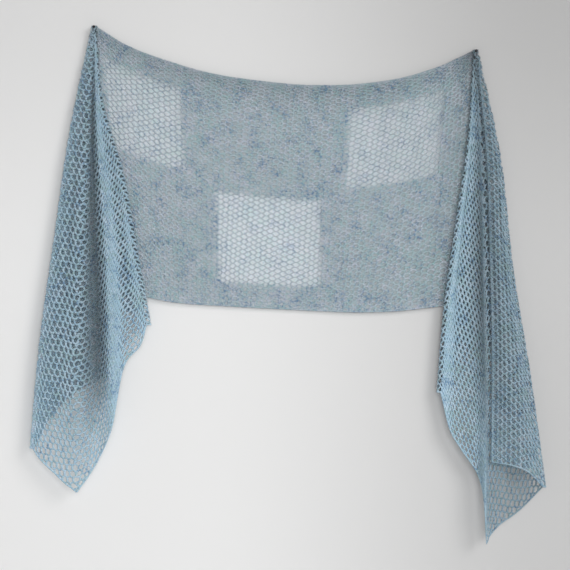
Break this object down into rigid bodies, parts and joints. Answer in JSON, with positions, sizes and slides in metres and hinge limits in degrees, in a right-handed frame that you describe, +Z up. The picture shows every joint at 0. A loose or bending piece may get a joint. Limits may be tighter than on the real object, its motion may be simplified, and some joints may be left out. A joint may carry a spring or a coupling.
{
  "type": "rectangular shawl on two wall pins",
  "caption": "Rectangular openwork knitted shawl hung on a wall by two pins, with a shallow swag between them and a folded tail beyond each pin.",
  "frame": {"origin": "centre of the left pin's flat end, on the wall plane", "axes": "+Z up, +X to the right along the wall as seen from the room, +Y into the wall"},
  "size_m": [0.927, 0.0507, 0.9309],
  "materials": {
    "yarn": "matte heathered blue yarn with a light halo",
    "pin_steel": "dark steel"
  },
  "bodies": {
    "root": {"centre_panel": "yarn", "left_tail": "yarn", "right_tail": "yarn", "left_pin": "pin_steel", "right_pin": "pin_steel"}
  },
  "joints": []
}
